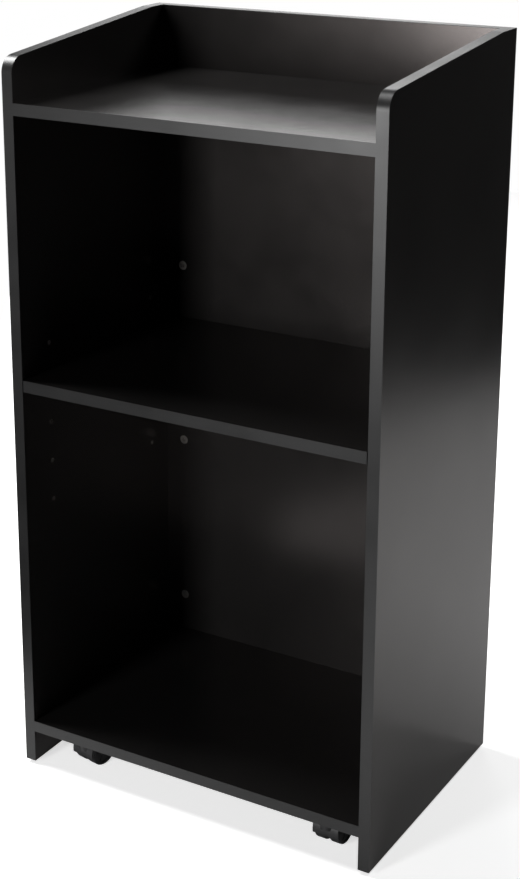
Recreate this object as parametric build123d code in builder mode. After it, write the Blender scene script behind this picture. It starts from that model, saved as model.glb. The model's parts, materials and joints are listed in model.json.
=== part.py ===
from build123d import *
from math import cos, radians, sin
import os

# Presentation lectern of laminated board on four twin-wheel casters.
# Frame: +Z up, the open side faces -Y, the audience panel stands at +Y. The origin is on the floor, under
# the middle of the body. All sizes are in millimetres.

# Carcass
WIDTH = 610  # over both side panels
DEPTH = 420  # front edges of the side panels to the back of the audience panel
BOARD = 18  # thickness of every panel
BAND = 1  # thickness of the plastic edge bands
FLOOR_GAP = 6  # side panels and audience panel stop this far above the floor
REAR_HEIGHT = 1160  # side panel, at its back edge
FRONT_HEIGHT = 1127.5  # side panel, where its sloping top edge would meet the front edge
TOP_FLAT = 49  # level stretch of the side panel's top edge, at the back
CORNER_RADIUS = 25  # rounded corner between the front edge and the sloping top edge
READING_TOP_LEVEL = 1069  # upper face of the reading top
SHELF_LEVEL = 650  # upper face of the adjustable shelf
SHELF_SIDE_GAP = 1.5  # shelf to side panel, each side
SHELF_REAR_GAP = 1.4
CASTER_HEIGHT = 59.2  # floor to the underside of the bottom panel

# Rows of shelf holes in the side panels
HOLE_PITCH = 64
HOLE_ROWS = 5
LOWEST_HOLE = 434.7
HOLE_COLUMNS = (-140, 144)  # y of the front and of the back column
SLEEVE_RADIUS = 3
SLEEVE_RIM_RADIUS = 3.6
SLEEVE_RIM = 0.4
SLEEVE_DEPTH = 9.5
PIN_RADIUS = 2.5
PIN_ROW = 3  # the row that carries the shelf, counted from zero
PIN_REACH = 8  # how far a pin's pad stands out from the side panel
PIN_PAD_THICKNESS = 2
PIN_WIDTH = 10

# Cam lock, cam bolt and dowel joints
CAM_RADIUS = 7.5
CAM_HEIGHT = 12.5
CAM_POCKET = 13.6
CAM_EDGE = 34  # cam centre to the end of its panel
CAM_RIM_INSET = 0.8
CAM_RIM_DEPTH = 0.3
CROSS_LENGTH = 8
CROSS_WIDTH = 1.9
CROSS_DEPTH = 3
CROSS_TURN = 45
BOLT_BORE_RADIUS = 4
BOLT_BORE = 31  # from the panel's end into the cam pocket
BOLT_SHANK_RADIUS = 2.5
BOLT_HEAD_RADIUS = 3.4
BOLT_HEAD = 3
BOLT_THREAD_RADIUS = 3
BOLT_THREAD = 11
DOWEL_RADIUS = 4
DOWEL_LENGTH = 30
DOWEL_IN_SIDE = 11.5
DOWEL_CHAMFER = 1
AUDIENCE_CAM_LEVELS = (141.3, 430.5, 738.8)
AUDIENCE_DOWEL_LEVELS = (285, 585, 900, 1110)
SHELF_BOARD_CAMS = (-130, 110)  # y of the cams under the reading top and under the bottom panel
SHELF_BOARD_DOWELS = (-168, 148)

# Casters
CASTER_X = 217
CASTER_FRONT_Y = -170
CASTER_REAR_Y = 134
CASTER_TURNS = {  # resting swivel angle of each caster, in degrees
    "speaker_left": 169,
    "speaker_right": 178,
    "audience_left": 188,
    "audience_right": 166,
}
WHEEL_RADIUS = 25
WHEEL_WIDTH = 17.8
WHEEL_INNER = 3.5  # inner face of a wheel from the middle of the caster
WHEEL_EDGE_ROUND = 2.5
WHEEL_DISH = 1.5
HUB_RADIUS = 8
RIM_RADIUS = 19.5
TRAIL = 22  # swivel axis to axle
AXLE_RADIUS = 3
AXLE_LENGTH = 36
RUNNING_FIT = 0.05
PIN_CHAMFER = 0.5  # on the ends of the axles and kingpins
SPINE = 5.6
SPINE_HUB_RADIUS = 14
HOOD_INNER = 26.2
HOOD_OUTER = 28.6
HOOD_HALF_WIDTH = 21.3
HOOD_START = -12  # hood angles about the axle, from the swivel side
HOOD_END = 122
BOSS_RADIUS = 10.5
BOSS_FOOT = 30
KINGPIN_RADIUS = 4
KINGPIN_LENGTH = 12.6
PLATE = 42
PLATE_THICKNESS = 2
PLATE_CORNER = 4
PLATE_HOLES = 32  # hole spacing, both ways
PLATE_HOLE_RADIUS = 2.2
RACE_RADIUS = 12
RACE_HEIGHT = 1
SWIVEL_GAP = 0.3
SCREW_RADIUS = 1.9
SCREW_LENGTH = 14
SCREW_HEAD_RADIUS = 4
SCREW_HEAD = 2.2

FRONT = -DEPTH / 2
REAR = DEPTH / 2
INSIDE = WIDTH / 2 - BOARD  # inner face of a side panel
BACK = REAR - BOARD  # inner face of the audience panel
SIDE_TOP = FLOOR_GAP + REAR_HEIGHT
BOTTOM_LEVEL = CASTER_HEIGHT + BOARD  # upper face of the bottom panel
SIDES = {"left": -1, "right": 1}
BODY_CASTERS = {
    "speaker_left": (-CASTER_X, CASTER_FRONT_Y),
    "speaker_right": (CASTER_X, CASTER_FRONT_Y),
    "audience_left": (-CASTER_X, CASTER_REAR_Y),
    "audience_right": (CASTER_X, CASTER_REAR_Y),
}

os.makedirs("parts", exist_ok=True)


def save(name, part):
    part.label = name
    export_step(part, f"parts/{name}.step")


def rectangle(low, high):
    """A sketch rectangle between two corners."""
    middle = ((low[0] + high[0]) / 2, (low[1] + high[1]) / 2)
    with Locations(middle):
        Rectangle(high[0] - low[0], high[1] - low[1])


# Places of the joints, as (y, z) on the inner faces of the side panels

hole_levels = [LOWEST_HOLE + row * HOLE_PITCH for row in range(HOLE_ROWS)]
sleeve_points = [(y, z) for y in HOLE_COLUMNS for z in hole_levels]
pin_points = [(y, hole_levels[PIN_ROW]) for y in HOLE_COLUMNS]
board_levels = {"reading_top": READING_TOP_LEVEL - BOARD / 2, "bottom_panel": BOTTOM_LEVEL - BOARD / 2}
bolt_points = {
    "audience_panel": [(BACK + BOARD / 2, z) for z in AUDIENCE_CAM_LEVELS],
    "reading_top": [(y, board_levels["reading_top"]) for y in SHELF_BOARD_CAMS],
    "bottom_panel": [(y, board_levels["bottom_panel"]) for y in SHELF_BOARD_CAMS],
}
dowel_points = {
    "audience_panel": [(BACK + BOARD / 2, z) for z in AUDIENCE_DOWEL_LEVELS],
    "reading_top": [(y, board_levels["reading_top"]) for y in SHELF_BOARD_DOWELS],
    "bottom_panel": [(y, board_levels["bottom_panel"]) for y in SHELF_BOARD_DOWELS],
}


# Side panels and their edge bands

with BuildSketch(Plane.YZ) as side_outline:
    with BuildLine():
        Polyline(
            (FRONT, FLOOR_GAP),
            (REAR, FLOOR_GAP),
            (REAR, SIDE_TOP),
            (REAR - TOP_FLAT, SIDE_TOP),
            (FRONT, FLOOR_GAP + FRONT_HEIGHT),
            close=True,
        )
    make_face()
    front_corner = side_outline.vertices().group_by(Axis.X)[0].sort_by(Axis.Y)[-1]
    fillet(front_corner, CORNER_RADIUS)

with BuildSketch(Plane.YZ) as side_core:
    add(side_outline.sketch_local)
    offset(amount=-BAND, mode=Mode.REPLACE)

with BuildSketch(Plane.YZ) as rear_strip:
    rectangle((REAR - BAND, FLOOR_GAP + BAND), (REAR, SIDE_TOP - BAND))

with BuildSketch(Plane.YZ) as bottom_strip:
    rectangle((FRONT, FLOOR_GAP), (REAR, FLOOR_GAP + BAND))

with BuildSketch(Plane.YZ) as contour_strip:
    add(side_outline.sketch_local)
    add(side_core.sketch_local, mode=Mode.SUBTRACT)
    add(rear_strip.sketch_local, mode=Mode.SUBTRACT)
    add(bottom_strip.sketch_local, mode=Mode.SUBTRACT)

strips = {
    "edge_band": contour_strip.sketch_local,
    "rear_edge_band": rear_strip.sketch_local,
    "bottom_edge_band": bottom_strip.sketch_local,
}

for side_name, side in SIDES.items():
    inner_face = Plane.YZ.offset(side * INSIDE)
    with BuildPart() as side_panel:
        with BuildSketch(inner_face):
            add(side_core.sketch_local)
        extrude(amount=side * BOARD)
        with BuildSketch(inner_face):
            with Locations(sleeve_points):
                Circle(SLEEVE_RADIUS)
        extrude(amount=side * SLEEVE_DEPTH, mode=Mode.SUBTRACT)
        with BuildSketch(inner_face):
            with Locations([point for points in bolt_points.values() for point in points]):
                Circle(BOLT_THREAD_RADIUS)
        extrude(amount=side * BOLT_THREAD, mode=Mode.SUBTRACT)
        with BuildSketch(inner_face):
            with Locations([point for points in dowel_points.values() for point in points]):
                Circle(DOWEL_RADIUS)
        extrude(amount=side * DOWEL_IN_SIDE, mode=Mode.SUBTRACT)
    save(f"{side_name}_side_panel", side_panel.part)

    for strip_name, strip in strips.items():
        with BuildPart() as edge_band:
            with BuildSketch(inner_face):
                add(strip)
            extrude(amount=side * BOARD)
        save(f"{side_name}_side_{strip_name}", edge_band.part)


# Panels between the sides


def board(low, high, joints, cam_face):
    """A panel between the side panels, with the holes of its cam, bolt and dowel joints.

    joints names the rows of joint places in its ends, and cam_face is the plane that holds its cam pockets.
    """
    with BuildPart() as panel:
        with Locations([(low + high) / 2]):
            Box(*(high - low))
        for side in SIDES.values():
            end = Plane.YZ.offset(side * INSIDE)
            with BuildSketch(end):
                with Locations(bolt_points[joints]):
                    Circle(BOLT_BORE_RADIUS)
            extrude(amount=-side * BOLT_BORE, mode=Mode.SUBTRACT)
            with BuildSketch(end):
                with Locations(dowel_points[joints]):
                    Circle(DOWEL_RADIUS)
            extrude(amount=-side * (DOWEL_LENGTH - DOWEL_IN_SIDE), mode=Mode.SUBTRACT)
        with BuildSketch(cam_face):
            with Locations([cam_face.to_local_coords(place.origin) for place in cam_places[joints]]):
                Circle(CAM_RADIUS)
        extrude(amount=-CAM_POCKET, mode=Mode.SUBTRACT)
    return panel.part


def cam_plane(origin, side, normal):
    """Plane of one cam's face: z leaves the panel, x points at the side panel that the cam pulls in."""
    return Plane(origin=origin, x_dir=(side, 0, 0), z_dir=normal)


cam_x = INSIDE - CAM_EDGE
under = {name: level - BOARD / 2 for name, level in board_levels.items()}
cam_places = {"audience_panel": [], "reading_top": [], "bottom_panel": []}
for side in SIDES.values():
    for z in AUDIENCE_CAM_LEVELS:
        cam_places["audience_panel"].append(cam_plane((side * cam_x, BACK, z), side, (0, -1, 0)))
    for name in board_levels:
        for y in SHELF_BOARD_CAMS:
            cam_places[name].append(cam_plane((side * cam_x, y, under[name]), side, (0, 0, -1)))

cam_faces = {
    "audience_panel": Plane(origin=(0, BACK, 0), x_dir=(1, 0, 0), z_dir=(0, -1, 0)),
    "reading_top": Plane(origin=(0, 0, under["reading_top"]), x_dir=(1, 0, 0), z_dir=(0, 0, -1)),
    "bottom_panel": Plane(origin=(0, 0, under["bottom_panel"]), x_dir=(1, 0, 0), z_dir=(0, 0, -1)),
}

audience_low = Vector(-INSIDE, BACK, FLOOR_GAP)
audience_high = Vector(INSIDE, REAR, SIDE_TOP)
band_step = Vector(0, 0, BAND)
audience_core = (audience_low + band_step, audience_high - band_step)
save("audience_panel", board(*audience_core, "audience_panel", cam_faces["audience_panel"]))

corner_steps = (-PLATE_HOLES / 2, PLATE_HOLES / 2)
screw_points = []
for x, y in BODY_CASTERS.values():
    screw_points += [(x + dx, y + dy) for dx in corner_steps for dy in corner_steps]
for name, level in board_levels.items():
    low = Vector(-INSIDE, FRONT + BAND, level - BOARD / 2)
    high = Vector(INSIDE, BACK, level + BOARD / 2)
    piece = board(low, high, name, cam_faces[name])
    if name == "bottom_panel":
        with BuildPart() as drilled:
            add(piece)
            with BuildSketch(Plane.XY.offset(CASTER_HEIGHT)):
                with Locations(screw_points):
                    Circle(SCREW_RADIUS)
            extrude(amount=SCREW_LENGTH - PLATE_THICKNESS, mode=Mode.SUBTRACT)
        piece = drilled.part
    save(name, piece)

shelf_half = INSIDE - SHELF_SIDE_GAP
with BuildPart() as adjustable_shelf:
    with BuildSketch(Plane.XY.offset(SHELF_LEVEL - BOARD)):
        rectangle((-shelf_half, FRONT + BAND), (shelf_half, BACK - SHELF_REAR_GAP))
    extrude(amount=BOARD)
save("adjustable_shelf", adjustable_shelf.part)

# Edge bands of those panels: a box between two corners each

edge_bands = {
    "audience_panel_top_edge_band": (audience_high - Vector(2 * INSIDE, BOARD, BAND), audience_high),
    "audience_panel_bottom_edge_band": (audience_low, audience_low + Vector(2 * INSIDE, BOARD, BAND)),
    "reading_top_edge_band": (
        Vector(-INSIDE, FRONT, READING_TOP_LEVEL - BOARD),
        Vector(INSIDE, FRONT + BAND, READING_TOP_LEVEL),
    ),
    "adjustable_shelf_edge_band": (
        Vector(-shelf_half, FRONT, SHELF_LEVEL - BOARD),
        Vector(shelf_half, FRONT + BAND, SHELF_LEVEL),
    ),
    "bottom_panel_edge_band": (
        Vector(-INSIDE, FRONT, CASTER_HEIGHT),
        Vector(INSIDE, FRONT + BAND, BOTTOM_LEVEL),
    ),
}
for name, (low, high) in edge_bands.items():
    with BuildPart() as strip:
        with Locations([(low + high) / 2]):
            Box(*(high - low))
    save(name, strip.part)

# Cam locks, cam bolts and dowels

for joints, places in cam_places.items():
    with BuildPart() as cam_locks:
        for place in places:
            with BuildSketch(place):
                Circle(CAM_RADIUS)
            extrude(amount=-CAM_HEIGHT)
            with BuildSketch(place):
                Circle(CAM_RADIUS)
                Circle(CAM_RADIUS - CAM_RIM_INSET, mode=Mode.SUBTRACT)
            extrude(amount=-CAM_RIM_DEPTH, mode=Mode.SUBTRACT)
            with BuildSketch(place):
                with Locations(Rotation(0, 0, CROSS_TURN)):
                    Rectangle(CROSS_LENGTH, CROSS_WIDTH)
                    Rectangle(CROSS_WIDTH, CROSS_LENGTH)
            extrude(amount=-CROSS_DEPTH, mode=Mode.SUBTRACT)
            bolt_mouth = Plane(origin=place.from_local_coords((0, 0, -BOARD / 2)), z_dir=place.x_dir)
            with BuildSketch(bolt_mouth):
                Circle(BOLT_BORE_RADIUS)
            extrude(amount=CAM_RADIUS, mode=Mode.SUBTRACT)
    save(f"{joints}_cam_locks", cam_locks.part)

    with BuildPart() as cam_bolts:
        for place in places:
            joint = Plane(origin=place.from_local_coords((CAM_EDGE, 0, -BOARD / 2)), z_dir=place.x_dir)
            with BuildSketch(joint):
                Circle(BOLT_THREAD_RADIUS)
            extrude(amount=BOLT_THREAD)
            with BuildSketch(joint):
                Circle(BOLT_SHANK_RADIUS)
            extrude(amount=-CAM_EDGE)
            with BuildSketch(joint.offset(-CAM_EDGE)):
                Circle(BOLT_HEAD_RADIUS)
            extrude(amount=BOLT_HEAD)
    save(f"{joints}_cam_bolts", cam_bolts.part)

    with BuildPart() as dowels:
        for side in SIDES.values():
            with BuildSketch(Plane.YZ.offset(side * (INSIDE + DOWEL_IN_SIDE))):
                with Locations(dowel_points[joints]):
                    Circle(DOWEL_RADIUS)
            extrude(amount=-side * DOWEL_LENGTH)
        chamfer(dowels.edges().filter_by(GeomType.CIRCLE), DOWEL_CHAMFER)
    save(f"{joints}_dowels", dowels.part)

# Steel sleeves in the shelf holes, and the pins that carry the shelf

with BuildPart() as shelf_hole_sleeves:
    for side in SIDES.values():
        face = Plane.YZ.offset(side * INSIDE)
        with BuildSketch(face):
            with Locations(sleeve_points):
                Circle(SLEEVE_RADIUS)
        extrude(amount=side * SLEEVE_DEPTH)
        with BuildSketch(face):
            with Locations(sleeve_points):
                Circle(SLEEVE_RIM_RADIUS)
        extrude(amount=-side * SLEEVE_RIM)
        with BuildSketch(face.offset(-side * SLEEVE_RIM)):
            with Locations(sleeve_points):
                Circle(PIN_RADIUS)
        extrude(amount=side * (SLEEVE_DEPTH + SLEEVE_RIM), mode=Mode.SUBTRACT)
save("shelf_hole_sleeves", shelf_hole_sleeves.part)

pin_top = SHELF_LEVEL - BOARD
with BuildPart() as shelf_pins:
    for side in SIDES.values():
        rim_face = Plane.YZ.offset(side * (INSIDE - SLEEVE_RIM))
        with BuildSketch(rim_face):
            with Locations(pin_points):
                Circle(PIN_RADIUS)
        extrude(amount=side * (SLEEVE_DEPTH + SLEEVE_RIM))
        for y, z in pin_points:
            with BuildSketch(rim_face):
                rectangle((y - PIN_WIDTH / 2, z - PIN_WIDTH / 2), (y + PIN_WIDTH / 2, pin_top))
            extrude(amount=-side * PIN_PAD_THICKNESS)
            with BuildSketch(rim_face):
                rectangle((y - PIN_WIDTH / 2, pin_top - PIN_PAD_THICKNESS), (y + PIN_WIDTH / 2, pin_top))
            extrude(amount=-side * (PIN_REACH - SLEEVE_RIM))
save("shelf_pins", shelf_pins.part)

# Casters. Each is built round its own swivel axis with its axle along X, then turned and put in place.

axle_center = (-TRAIL, WHEEL_RADIUS)
plate_under = CASTER_HEIGHT - PLATE_THICKNESS
boss_top = plate_under - RACE_HEIGHT - SWIVEL_GAP


def sector(radius):
    """The hood's sector about the axle, in the YZ plane."""
    with BuildSketch(Plane.YZ) as wedge:
        with BuildLine():
            arc = CenterArc(axle_center, radius, HOOD_START, HOOD_END - HOOD_START)
            Line(axle_center, arc @ 0)
            Line(arc @ 1, axle_center)
        make_face()
    return wedge.sketch_local


with BuildPart() as housing:
    with BuildSketch(Plane.YZ):
        add(sector(HOOD_OUTER))
        add(sector(HOOD_INNER), mode=Mode.SUBTRACT)
    extrude(amount=HOOD_HALF_WIDTH, both=True)
    with BuildSketch(Plane.XY.offset(BOSS_FOOT)):
        Circle(BOSS_RADIUS)
    extrude(amount=boss_top - BOSS_FOOT)
    with BuildSketch(Plane.YZ):
        with Locations(axle_center):
            Circle(HOOD_INNER)
    extrude(amount=HOOD_HALF_WIDTH, both=True, mode=Mode.SUBTRACT)
    with BuildSketch(Plane.YZ):
        add(sector(HOOD_OUTER))
        with Locations(axle_center):
            Circle(SPINE_HUB_RADIUS)
    extrude(amount=SPINE / 2, both=True)
    with BuildSketch(Plane.YZ):
        with Locations(axle_center):
            Circle(AXLE_RADIUS)
    extrude(amount=SPINE, both=True, mode=Mode.SUBTRACT)
    with BuildSketch(Plane.XY.offset(boss_top)):
        Circle(KINGPIN_RADIUS + RUNNING_FIT)
    extrude(amount=-(boss_top - CASTER_HEIGHT + KINGPIN_LENGTH + SWIVEL_GAP), mode=Mode.SUBTRACT)

with BuildPart() as axle:
    with BuildSketch(Plane.YZ):
        with Locations(axle_center):
            Circle(AXLE_RADIUS)
    extrude(amount=AXLE_LENGTH / 2, both=True)
    chamfer(axle.edges().filter_by(GeomType.CIRCLE), PIN_CHAMFER)

wheels = {}
wheel_outer = WHEEL_INNER + WHEEL_WIDTH
for wheel_name, side in {"left": -1, "right": 1}.items():
    inner = Plane.YZ.offset(side * WHEEL_INNER)
    outer = Plane.YZ.offset(side * wheel_outer)
    with BuildPart() as wheel:
        with BuildSketch(inner):
            with Locations(axle_center):
                Circle(WHEEL_RADIUS)
        extrude(amount=side * WHEEL_WIDTH)
        fillet(wheel.edges().filter_by(GeomType.CIRCLE), WHEEL_EDGE_ROUND)
        with BuildSketch(outer):
            with Locations(axle_center):
                Circle(RIM_RADIUS)
                Circle(HUB_RADIUS, mode=Mode.SUBTRACT)
        extrude(amount=-side * WHEEL_DISH, mode=Mode.SUBTRACT)
        with BuildSketch(inner):
            with Locations(axle_center):
                Circle(AXLE_RADIUS + RUNNING_FIT)
        extrude(amount=side * (AXLE_LENGTH / 2 - WHEEL_INNER + SWIVEL_GAP), mode=Mode.SUBTRACT)
    wheels[wheel_name] = wheel.part

turning = {"housing": housing.part, "axle": axle.part}
for wheel_name, wheel_part in wheels.items():
    turning[f"{wheel_name}_wheel"] = wheel_part

for caster, (x, y) in BODY_CASTERS.items():
    place = Location((x, y, 0), (0, 0, CASTER_TURNS[caster]))
    for piece_name, piece in turning.items():
        save(f"{caster}_caster_{piece_name}", place * piece)

    with BuildPart() as mounting_plate:
        with BuildSketch(Plane((x, y, plate_under))):
            RectangleRounded(PLATE, PLATE, PLATE_CORNER)
        extrude(amount=PLATE_THICKNESS)
        with BuildSketch(Plane((x, y, plate_under))):
            Circle(RACE_RADIUS)
        extrude(amount=-RACE_HEIGHT)
        with BuildSketch(Plane((x, y, plate_under))):
            with GridLocations(PLATE_HOLES, PLATE_HOLES, 2, 2):
                Circle(PLATE_HOLE_RADIUS)
        extrude(amount=PLATE_THICKNESS, mode=Mode.SUBTRACT)
        with BuildSketch(Plane((x, y, CASTER_HEIGHT))):
            Circle(KINGPIN_RADIUS)
        extrude(amount=-(PLATE_THICKNESS + RACE_HEIGHT), mode=Mode.SUBTRACT)
    save(f"{caster}_caster_mounting_plate", mounting_plate.part)

    with BuildPart() as kingpin:
        with BuildSketch(Plane((x, y, CASTER_HEIGHT))):
            Circle(KINGPIN_RADIUS)
        extrude(amount=-KINGPIN_LENGTH)
        chamfer(kingpin.edges().group_by(Axis.Z)[0], PIN_CHAMFER)
    save(f"{caster}_caster_kingpin", kingpin.part)

with BuildPart() as caster_screws:
    with BuildSketch(Plane.XY.offset(plate_under)):
        with Locations(screw_points):
            Circle(SCREW_RADIUS)
    extrude(amount=SCREW_LENGTH)
    with BuildSketch(Plane.XY.offset(plate_under)):
        with Locations(screw_points):
            Circle(SCREW_HEAD_RADIUS)
    extrude(amount=-SCREW_HEAD)
save("caster_screws", caster_screws.part)
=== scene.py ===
import json
from math import cos, pi, radians, sin

import bmesh
import bpy
from mathutils import Matrix, Vector

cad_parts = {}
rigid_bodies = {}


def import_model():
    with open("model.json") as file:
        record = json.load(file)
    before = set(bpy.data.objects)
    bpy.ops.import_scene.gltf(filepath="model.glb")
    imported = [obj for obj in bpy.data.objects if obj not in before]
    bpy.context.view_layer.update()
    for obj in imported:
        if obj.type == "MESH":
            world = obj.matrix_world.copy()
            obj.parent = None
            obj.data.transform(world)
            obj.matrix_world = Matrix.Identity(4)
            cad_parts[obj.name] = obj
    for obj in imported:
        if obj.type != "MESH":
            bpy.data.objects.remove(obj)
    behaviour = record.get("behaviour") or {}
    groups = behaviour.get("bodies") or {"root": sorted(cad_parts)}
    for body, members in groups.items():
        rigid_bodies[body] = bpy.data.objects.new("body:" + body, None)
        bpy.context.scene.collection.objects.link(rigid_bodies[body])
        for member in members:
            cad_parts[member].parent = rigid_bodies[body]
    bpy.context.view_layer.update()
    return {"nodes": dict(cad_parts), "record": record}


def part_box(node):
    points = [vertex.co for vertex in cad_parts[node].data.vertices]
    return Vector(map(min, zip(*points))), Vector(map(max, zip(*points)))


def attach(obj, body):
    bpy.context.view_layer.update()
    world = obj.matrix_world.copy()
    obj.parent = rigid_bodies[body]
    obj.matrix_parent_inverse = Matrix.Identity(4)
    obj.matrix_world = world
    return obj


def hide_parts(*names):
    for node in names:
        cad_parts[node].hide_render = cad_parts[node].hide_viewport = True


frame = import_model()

NODES = frame["nodes"]
MM = 0.001


# ---------------------------------------------------------------- node materials


class Shader:
    """A small helper round one material's node tree, with its Principled shader ready."""

    def __init__(self, name, color, roughness, specular=0.5, metallic=0.0, tint=(1, 1, 1)):
        self.material = bpy.data.materials.new(name)
        self.material.use_nodes = True
        self.tree = self.material.node_tree
        self.bsdf = self.tree.nodes["Principled BSDF"]
        self.bsdf.inputs["Base Color"].default_value = (*color, 1)
        self.bsdf.inputs["Roughness"].default_value = roughness
        self.bsdf.inputs["Specular IOR Level"].default_value = specular
        self.bsdf.inputs["Metallic"].default_value = metallic
        self.bsdf.inputs["Specular Tint"].default_value = (*tint, 1)
        self.coords = self.tree.nodes.new("ShaderNodeTexCoord").outputs["Object"]

    def node(self, kind, inputs=None, **settings):
        made = self.tree.nodes.new(kind)
        for key, value in settings.items():
            setattr(made, key, value)
        for key, value in (inputs or {}).items():
            if isinstance(value, bpy.types.NodeSocket):
                self.tree.links.new(value, made.inputs[key])
            else:
                made.inputs[key].default_value = value
        return made

    def stretched(self, scale):
        """Object coordinates, in metres, scaled differently along each axis."""
        return self.node("ShaderNodeMapping", {"Vector": self.coords, "Scale": scale}).outputs[0]

    def noise(self, size, detail=3.0, rough=0.5, vector=None):
        """Noise with features of about the given size in metres."""
        made = self.node(
            "ShaderNodeTexNoise",
            {"Vector": vector or self.coords, "Scale": 1 / size, "Detail": detail, "Roughness": rough},
        )
        return made.outputs["Fac"]

    def cells(self, size, feature="F1", vector=None):
        made = self.node(
            "ShaderNodeTexVoronoi", {"Vector": vector or self.coords, "Scale": 1 / size}, feature=feature
        )
        return made.outputs["Distance"]

    def spread(self, value, low, high):
        """A noise value, mostly between 0.3 and 0.7, mapped to low..high."""
        made = self.node(
            "ShaderNodeMapRange",
            {"Value": value, "From Min": 0.3, "From Max": 0.7, "To Min": low, "To Max": high},
        )
        return made.outputs[0]

    def tint(self, value, dark, light):
        ramp = self.node("ShaderNodeValToRGB", {"Fac": value})
        ramp.color_ramp.elements[0].position = 0.3
        ramp.color_ramp.elements[0].color = (*dark, 1)
        ramp.color_ramp.elements[1].position = 0.7
        ramp.color_ramp.elements[1].color = (*light, 1)
        return ramp.outputs[0]

    def sum(self, first, second, weight):
        """first + weight * second"""
        made = self.node("ShaderNodeMath", {0: second, 1: weight, 2: first}, operation="MULTIPLY_ADD")
        return made.outputs[0]

    def bump(self, height, distance, strength=1.0):
        made = self.node("ShaderNodeBump", {"Height": height, "Distance": distance, "Strength": strength})
        self.link(made.outputs[0], "Normal")

    def link(self, value, socket):
        self.tree.links.new(value, self.bsdf.inputs[socket])


def laminate():
    """Black melamine laminate: satin, with a fine pebbled grain and faint handling marks."""
    shader = Shader("laminate", (0.011, 0.0105, 0.0103), 0.22, tint=(1, 0.9, 0.87))
    pebble = shader.cells(0.0011, "SMOOTH_F1")
    fine = shader.noise(0.0004, 2)
    broad = shader.noise(0.16, 4, 0.6)
    shader.link(shader.tint(broad, (0.0098, 0.0094, 0.0093), (0.0128, 0.0122, 0.0119)), "Base Color")
    smudge = shader.sum(broad, fine, 0.2)
    shader.link(shader.spread(smudge, 0.19, 0.24), "Roughness")
    shader.bump(shader.sum(pebble, fine, 0.35), 0.00006, 0.4)
    return shader.material


def edge_band():
    """Plastic edge band: a little lighter and glossier than the faces, with fine milling ripples."""
    shader = Shader("edge_band", (0.007, 0.0068, 0.007), 0.37, specular=0.6)
    broad = shader.noise(0.08, 3)
    ripple = shader.noise(0.0012, 2)
    shader.link(shader.tint(broad, (0.0058, 0.0057, 0.0059), (0.0082, 0.0080, 0.0082)), "Base Color")
    shader.link(shader.spread(shader.sum(broad, ripple, 0.3), 0.34, 0.41), "Roughness")
    shader.bump(ripple, 0.00003, 0.3)
    return shader.material


def cast_zinc():
    """Die-cast zinc of the cam locks: dull grey with a sandy casting skin."""
    shader = Shader("cast_zinc", (0.36, 0.34, 0.32), 0.42, metallic=1.0)
    skin = shader.noise(0.0006, 3)
    blotch = shader.noise(0.004, 3)
    shader.link(shader.tint(blotch, (0.26, 0.24, 0.23), (0.42, 0.40, 0.38)), "Base Color")
    shader.link(shader.spread(skin, 0.34, 0.52), "Roughness")
    shader.bump(skin, 0.00008, 0.5)
    return shader.material


def plated_steel(name, dark, light, rough_low, rough_high):
    """Turned and plated steel with fine machining lines."""
    shader = Shader(name, light, rough_low, metallic=1.0)
    haze = shader.noise(0.003, 3)
    lines = shader.noise(0.0002, 2, vector=shader.stretched((0.15, 1, 1)))
    shader.link(shader.tint(haze, dark, light), "Base Color")
    shader.link(shader.spread(shader.sum(haze, lines, 0.4), rough_low, rough_high), "Roughness")
    shader.bump(lines, 0.00002, 0.3)
    return shader.material


def painted_steel():
    """Black powder coat on pressed steel, with orange peel."""
    shader = Shader("painted_steel", (0.018, 0.018, 0.019), 0.42)
    peel = shader.cells(0.0014, "SMOOTH_F1")
    haze = shader.noise(0.02, 3)
    shader.link(shader.tint(haze, (0.015, 0.015, 0.016), (0.023, 0.023, 0.024)), "Base Color")
    shader.link(shader.spread(haze, 0.36, 0.48), "Roughness")
    shader.bump(peel, 0.00012, 0.5)
    return shader.material


def moulded_nylon(name, dark, light, rough_low, rough_high):
    """Black moulded nylon with spark-eroded grain."""
    shader = Shader(name, light, rough_low)
    grain = shader.noise(0.0005, 3)
    haze = shader.noise(0.015, 4)
    shader.link(shader.tint(haze, dark, light), "Base Color")
    shader.link(shader.spread(shader.sum(haze, grain, 0.3), rough_low, rough_high), "Roughness")
    shader.bump(grain, 0.00006, 0.5)
    return shader.material


def beech():
    """Plain beech of the dowels, with long grain and short flecks."""
    shader = Shader("beech", (0.55, 0.36, 0.2), 0.6)
    grain = shader.noise(0.0012, 4, vector=shader.stretched((0.08, 1, 1)))
    shader.link(shader.tint(grain, (0.45, 0.28, 0.15), (0.62, 0.43, 0.25)), "Base Color")
    shader.link(shader.spread(grain, 0.55, 0.7), "Roughness")
    shader.bump(grain, 0.00012, 0.6)
    return shader.material


MATERIALS = {
    "laminate": laminate(),
    "edge_band": edge_band(),
    "cam_lock": cast_zinc(),
    "steel": plated_steel("zinc_plated_steel", (0.45, 0.46, 0.48), (0.62, 0.62, 0.63), 0.22, 0.38),
    "nickel": plated_steel("nickel_plated_steel", (0.50, 0.48, 0.45), (0.68, 0.66, 0.62), 0.2, 0.34),
    "plate_steel": painted_steel(),
    "caster_nylon": moulded_nylon("caster_nylon", (0.014, 0.014, 0.015), (0.022, 0.022, 0.023), 0.34, 0.48),
    "wheel_nylon": moulded_nylon("wheel_nylon", (0.010, 0.010, 0.011), (0.017, 0.017, 0.018), 0.42, 0.58),
    "beech": beech(),
}

SLOTS = {entry["node"]: entry["material_slot"] for entry in frame["record"]["subparts"]}


def soften(obj, width, segments=2):
    """Small rounded edges on a CAD node."""
    bevel = obj.modifiers.new("rounded edges", "BEVEL")
    bevel.width = width
    bevel.segments = segments
    bevel.limit_method = "ANGLE"
    bevel.angle_limit = radians(35)
    bevel.harden_normals = False


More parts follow.
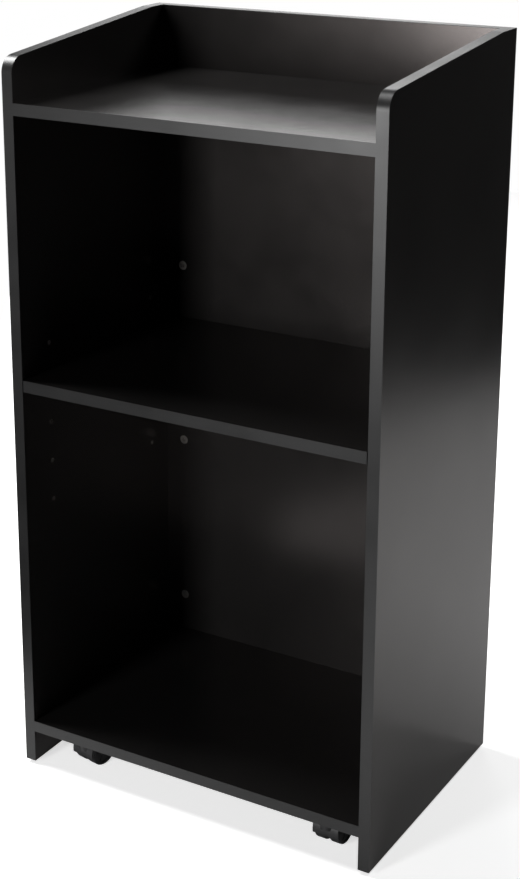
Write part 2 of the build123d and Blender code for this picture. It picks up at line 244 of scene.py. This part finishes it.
EDGE_ROUND = {
    "edge_band": 0.45 * MM,
    "cam_lock": 0.15 * MM,
    "steel": 0.2 * MM,
    "nickel": 0.12 * MM,
    "plate_steel": 0.3 * MM,
    "caster_nylon": 0.4 * MM,
    "wheel_nylon": 0.2 * MM,
}

for name, obj in NODES.items():
    obj.data.materials.clear()
    obj.data.materials.append(MATERIALS[SLOTS[name]])
    if SLOTS[name] in EDGE_ROUND:
        soften(obj, EDGE_ROUND[SLOTS[name]])


# ---------------------------------------------------------------- caster wheels and screws

JOINTS = {joint["name"]: joint for joint in frame["record"]["behaviour"]["joints"]}
CASTERS = sorted(name[: -len("_swivel")] for name in JOINTS if name.endswith("_swivel"))
WHEEL_SIDES = {"left": -1, "right": 1}

INNER_FACE = 3.5 * MM  # of a wheel, from the middle of its caster
OUTER_FACE = 21.3 * MM
WHEEL_RADIUS = 25 * MM
EDGE_ROUND_RADIUS = 2.5 * MM
BORE_RADIUS = 3.05 * MM
BORE_DEPTH = 12 * MM
GROOVE = 0.35 * MM  # depth of the two lines moulded into the tread, and half the width of their floor
GROOVE_FROM_MIDDLE = 4 * MM
INNER_STEP = 0.6 * MM  # depth of the ring-shaped recess in the inner side, and width of its walls
INNER_RECESS = (9 * MM, 19.6 * MM)  # its radii at the side face
RIM = ((0, 20.2 * MM), (0.3 * MM, 19.5 * MM))  # (depth, radius) from the rim into the dish
DISH_DEPTH = 1.4 * MM
DISH_RADII = (19.1 * MM, 8.6 * MM)
HUB_CAP = ((0.5 * MM, 8 * MM), (0.15 * MM, 7.4 * MM), (0.05 * MM, 4 * MM))  # (depth, radius)
RIB_COUNT = 6
RIB_ENDS = (8.2 * MM, 19.4 * MM)  # distances from the axle
RIB_HALF_WIDTH = 1 * MM
RIB_ROOT = 0.2 * MM  # how far a rib is sunk into the floor of the dish
RIB_THICKNESS = 0.9 * MM


def add_object(name, mesh, material, sharp_angle=32):
    data = bpy.data.meshes.new(name)
    mesh.normal_update()
    mesh.to_mesh(data)
    mesh.free()
    for polygon in data.polygons:
        polygon.use_smooth = True
    data.set_sharp_from_angle(angle=radians(sharp_angle))
    data.materials.append(material)
    obj = bpy.data.objects.new(name, data)
    bpy.context.scene.collection.objects.link(obj)
    return obj


def lathe(mesh, profile, segments=72):
    """Turns a profile of (x, radius) points about the X axis. A point on the axis closes the end."""
    rings = []
    for x, radius in profile:
        if radius == 0:
            rings.append([mesh.verts.new((x, 0, 0))])
            continue
        turns = [2 * pi * i / segments for i in range(segments)]
        rings.append([mesh.verts.new((x, radius * cos(turn), radius * sin(turn))) for turn in turns])
    for first, second in zip(rings, rings[1:]):
        for i in range(segments):
            j = (i + 1) % segments
            corners = [(first, i), (second, i), (second, j), (first, j)]
            verts = [ring[k % len(ring)] for ring, k in corners]
            mesh.faces.new(list(dict.fromkeys(verts)))


def rounded(center_x, direction, steps=6):
    """Quarter circle from the side face of a wheel to its tread, or back for direction -1."""
    arc = []
    for step in range(steps + 1):
        angle = step / steps * pi / 2
        x = center_x - direction * EDGE_ROUND_RADIUS * cos(angle)
        arc.append((x, WHEEL_RADIUS - EDGE_ROUND_RADIUS + EDGE_ROUND_RADIUS * sin(angle)))
    return arc if direction > 0 else arc[::-1]


def wheel_profile():
    """Section of a wheel: recessed inner side, tread with two fine lines, dished outer side, hub cap."""
    bore_end = INNER_FACE + BORE_DEPTH
    bore = [(bore_end, 0), (bore_end, BORE_RADIUS), (INNER_FACE, BORE_RADIUS)]
    step = INNER_FACE + INNER_STEP
    low, high = INNER_RECESS
    inner_side = [(INNER_FACE, low), (step, low + INNER_STEP), (step, high - INNER_STEP), (INNER_FACE, high)]
    middle = (INNER_FACE + OUTER_FACE) / 2
    bottom = WHEEL_RADIUS - GROOVE
    tread = []
    for x in (middle - GROOVE_FROM_MIDDLE, middle + GROOVE_FROM_MIDDLE):
        tread += [(x - 2 * GROOVE, WHEEL_RADIUS), (x - GROOVE, bottom)]
        tread += [(x + GROOVE, bottom), (x + 2 * GROOVE, WHEEL_RADIUS)]
    outer_side = [(OUTER_FACE - depth, radius) for depth, radius in RIM]
    outer_side += [(OUTER_FACE - DISH_DEPTH, radius) for radius in DISH_RADII]
    outer_side += [(OUTER_FACE - depth, radius) for depth, radius in HUB_CAP]
    return (
        bore
        + inner_side
        + rounded(INNER_FACE + EDGE_ROUND_RADIUS, 1)
        + tread
        + rounded(OUTER_FACE - EDGE_ROUND_RADIUS, -1)
        + outer_side
        + [(OUTER_FACE, 0)]
    )


def block(mesh, low, high, turn):
    """A box between two corners, turned about the X axis."""
    corners = [(x, y, z) for x in (low[0], high[0]) for y in (low[1], high[1]) for z in (low[2], high[2])]
    verts = [mesh.verts.new(Matrix.Rotation(turn, 3, "X") @ Vector(corner)) for corner in corners]
    for face in ((0, 1, 3, 2), (4, 6, 7, 5), (0, 4, 5, 1), (2, 3, 7, 6), (0, 2, 6, 4), (1, 5, 7, 3)):
        mesh.faces.new([verts[i] for i in face])


def wheel(name, side, joint):
    """One wheel, turned for the right side of a caster and mirrored for the left."""
    mesh = bmesh.new()
    lathe(mesh, wheel_profile())
    root = OUTER_FACE - DISH_DEPTH - RIB_ROOT
    low = (root, RIB_ENDS[0], -RIB_HALF_WIDTH)
    high = (root + RIB_THICKNESS, RIB_ENDS[1], RIB_HALF_WIDTH)
    for rib in range(RIB_COUNT):
        block(mesh, low, high, 2 * pi * rib / RIB_COUNT)
    if side < 0:
        mesh.transform(Matrix.Scale(-1, 4, (1, 0, 0)))
        bmesh.ops.reverse_faces(mesh, faces=mesh.faces)
    obj = add_object(name, mesh, MATERIALS["wheel_nylon"])
    axis = Vector(joint["axis"])
    turn = axis.to_track_quat("X", "Z").to_matrix().to_4x4()
    obj.matrix_world = Matrix.Translation(joint["pos_m"]) @ turn
    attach(obj, joint["child"])
    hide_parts(f"{joint['parent']}_{joint['child'].split('_')[-2]}_wheel")


for caster in CASTERS:
    for side_name, side in WHEEL_SIDES.items():
        wheel(f"{caster}_{side_name}_moulded_wheel", side, JOINTS[f"{caster}_{side_name}_wheel_spin"])

HEAD_HEIGHT = 2.2 * MM
HEAD_RADIUS = 4 * MM
DOME = 0.75  # share of the head's height that is domed
DOME_STEPS = 6
SHANK_RADIUS = 1.7 * MM
POINT_RADIUS = 0.68 * MM
POINT_LENGTH = 3 * MM
CROSS_HALF_LENGTH = 2.1 * MM
CROSS_HALF_WIDTH = 0.55 * MM
CROSS_DEPTH = 1.3 * MM
CROSS_TAPER = 0.7  # size of the recess at its floor
HOLE_SPACING = 32 * MM


def pan_head_screw(mesh, place, head_under, tip):
    """A pan-head screw pointing up, with a cross recess in the head."""
    segments = 32
    seat = head_under + HEAD_HEIGHT
    dome = HEAD_HEIGHT * DOME
    rings = [(POINT_RADIUS, tip), (SHANK_RADIUS, tip - POINT_LENGTH)]
    rings += [(SHANK_RADIUS, seat), (HEAD_RADIUS, seat)]
    for step in range(DOME_STEPS + 1):
        angle = pi / 4 * step / DOME_STEPS
        rings.append((HEAD_RADIUS * cos(angle), head_under + dome - dome * sin(angle)))
    loops = []
    for radius, z in rings:
        turns = [2 * pi * i / segments for i in range(segments)]
        circle = [(place[0] + radius * cos(turn), place[1] + radius * sin(turn), z) for turn in turns]
        loops.append([mesh.verts.new(point) for point in circle])
    mesh.faces.new(loops[0])
    for low, high in zip(loops, loops[1:]):
        for i in range(segments):
            j = (i + 1) % segments
            mesh.faces.new((low[i], low[j], high[j], high[i]))
    long, short, z = CROSS_HALF_LENGTH, CROSS_HALF_WIDTH, rings[-1][1]
    quarter = [(long, -short), (long, short), (short, short)]
    outline = []
    for corner in range(4):
        turn = Matrix.Rotation(corner * pi / 2, 2)
        outline += [turn @ Vector(point) for point in quarter]
    mouth = [mesh.verts.new((place[0] + p.x, place[1] + p.y, z)) for p in outline]
    narrow = [p * CROSS_TAPER for p in outline]
    floor_ring = [mesh.verts.new((place[0] + p.x, place[1] + p.y, z + CROSS_DEPTH)) for p in narrow]
    edges = [mesh.edges.get((loops[-1][i], loops[-1][(i + 1) % segments])) for i in range(segments)]
    edges += [mesh.edges.new((mouth[i], mouth[(i + 1) % len(mouth)])) for i in range(len(mouth))]
    bmesh.ops.triangle_fill(mesh, edges=edges, use_beauty=True)
    for i in range(len(mouth)):
        j = (i + 1) % len(mouth)
        mesh.faces.new((mouth[i], mouth[j], floor_ring[j], floor_ring[i]))
    mesh.faces.new(floor_ring)


def caster_screws():
    """The four screws of every mounting plate, in one piece."""
    mesh = bmesh.new()
    low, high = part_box("caster_screws")
    for caster in CASTERS:
        plate_low, plate_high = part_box(f"{caster}_caster_mounting_plate")
        middle = (Vector(plate_low) + Vector(plate_high)) / 2
        for dx in (-HOLE_SPACING / 2, HOLE_SPACING / 2):
            for dy in (-HOLE_SPACING / 2, HOLE_SPACING / 2):
                pan_head_screw(mesh, (middle.x + dx, middle.y + dy), low[2], high[2])
    bmesh.ops.recalc_face_normals(mesh, faces=mesh.faces)
    obj = add_object("caster_pan_head_screws", mesh, MATERIALS["steel"])
    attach(obj, "lectern")
    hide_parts("caster_screws")


caster_screws()


# ---------------------------------------------------------------- camera

CAMERA_AZIMUTH = 31.775  # degrees round the object, from straight in front
CAMERA_PITCH = -16.996
CAMERA_ROLL = -0.364
CAMERA_PLACE = (1.2562, -2.2271, 1.5196)
SENSOR_WIDTH = 36  # millimetres
FOCAL_LENGTH = 73.05
SHIFT = (0.0812, -0.1386)

camera = bpy.data.objects.new("camera", bpy.data.cameras.new("camera"))
bpy.context.scene.collection.objects.link(camera)
camera.matrix_world = (
    Matrix.Translation(CAMERA_PLACE)
    @ Matrix.Rotation(radians(CAMERA_AZIMUTH), 4, "Z")
    @ Matrix.Rotation(radians(90 + CAMERA_PITCH), 4, "X")
    @ Matrix.Rotation(radians(CAMERA_ROLL), 4, "Z")
)
camera.data.lens = FOCAL_LENGTH
camera.data.sensor_width = SENSOR_WIDTH
camera.data.shift_x, camera.data.shift_y = SHIFT
camera.data.clip_start = 0.05
bpy.context.scene.camera = camera


# ---------------------------------------------------------------- studio

FLOOR_LEFT = 0.65  # metres of white paper from the object's middle, as the camera sees it
FLOOR_RIGHT = 1.8
FLOOR_FRONT = 3.0
FLOOR_BACK = 4.0
FLOOR_GLOW = 0.02  # light that the paper gives off by itself
FLOOR_LIFT = 0.64  # what the exposure adds where the camera looks straight at the paper


def floor():
    """A sheet of white paper, laid square to the camera."""
    mesh = bmesh.new()
    corners = [
        (-FLOOR_LEFT, -FLOOR_FRONT, 0),
        (FLOOR_RIGHT, -FLOOR_FRONT, 0),
        (FLOOR_RIGHT, FLOOR_BACK, 0),
        (-FLOOR_LEFT, FLOOR_BACK, 0),
    ]
    mesh.faces.new([mesh.verts.new(corner) for corner in corners])
    mesh.transform(Matrix.Rotation(radians(CAMERA_AZIMUTH), 4, "Z"))
    data = bpy.data.meshes.new("floor")
    mesh.to_mesh(data)
    mesh.free()
    obj = bpy.data.objects.new("floor", data)
    bpy.context.scene.collection.objects.link(obj)
    paper = Shader("white_paper", (0.86, 0.86, 0.86), 0.9, 0.2)
    rays = paper.node("ShaderNodeLightPath")
    glow = paper.node(
        "ShaderNodeMapRange",
        {"Value": rays.outputs["Is Camera Ray"], "To Min": FLOOR_GLOW, "To Max": FLOOR_GLOW + FLOOR_LIFT},
    )
    paper.bsdf.inputs["Emission Color"].default_value = (1, 1, 1, 1)
    paper.link(glow.outputs[0], "Emission Strength")
    data.materials.append(paper.material)


floor()


def softbox(name, place, target, size, power):
    light = bpy.data.lights.new(name, "AREA")
    light.shape = "RECTANGLE"
    light.size, light.size_y = size
    light.energy = power
    obj = bpy.data.objects.new(name, light)
    bpy.context.scene.collection.objects.link(obj)
    obj.location = place
    obj.rotation_euler = (Vector(target) - Vector(place)).to_track_quat("-Z", "Y").to_euler()
    obj.visible_camera = False
    return obj


# The front box stands left of the camera, so that the bands at the right reflect it and those at the left
# hardly do. The overhead box hangs to the left, out of the right panel's rounded corner. The floor boxes
# light the paper that the right side panel reflects. The last ones stand behind the lectern and shine in
# the front half of the reading top and in the sloping edges.
FRONT_Y = -3.0
softbox("front", (-0.72, FRONT_Y, 0.9), (-0.72, 0, 0.9), (0.5, 1.0), 51)
softbox("overhead", (-1.75, -0.1, 3.0), (0, 0, 0.2), (1.2, 1.4), 115)
softbox("rear_floor", (1.3, 2.0, 2.6), (1.3, 2.0, 0), (1.2, 1.2), 9.5)
softbox("side_floor", (1.1, 0.9, 1.8), (0.7, 0.6, 0), (0.6, 0.6), 6.5)
softbox("top_edges", (-1.8, 3.5, 3.0), (0.3, 0, 1.15), (0.8, 0.8), 9)
WALL_DISTANCE = 4.0
WALL_HEIGHT = 2.0
for number, (azimuth, power) in enumerate([(14, 5.5), (24, 7.5), (36, 8)]):
    turn = radians(azimuth)
    place = (-WALL_DISTANCE * sin(turn), WALL_DISTANCE * cos(turn), WALL_HEIGHT)
    softbox(f"wall_{number}", place, (0, 0, 1), (0.8, 1.4), power)

AMBIENT = 0.022  # what the surroundings shine on the object; the camera itself sees them white

world = bpy.data.worlds.new("studio")
bpy.context.scene.world = world
world.use_nodes = True
tree = world.node_tree
ambient = tree.nodes["Background"]
ambient.inputs["Color"].default_value = (AMBIENT, AMBIENT, AMBIENT, 1)
seen = tree.nodes.new("ShaderNodeBackground")
seen.inputs["Color"].default_value = (1, 1, 1, 1)
rays = tree.nodes.new("ShaderNodeLightPath")
mix = tree.nodes.new("ShaderNodeMixShader")
tree.links.new(rays.outputs["Is Camera Ray"], mix.inputs[0])
tree.links.new(ambient.outputs[0], mix.inputs[1])
tree.links.new(seen.outputs[0], mix.inputs[2])
tree.links.new(mix.outputs[0], tree.nodes["World Output"].inputs["Surface"])
bpy.context.scene.view_settings.view_transform = "Standard"
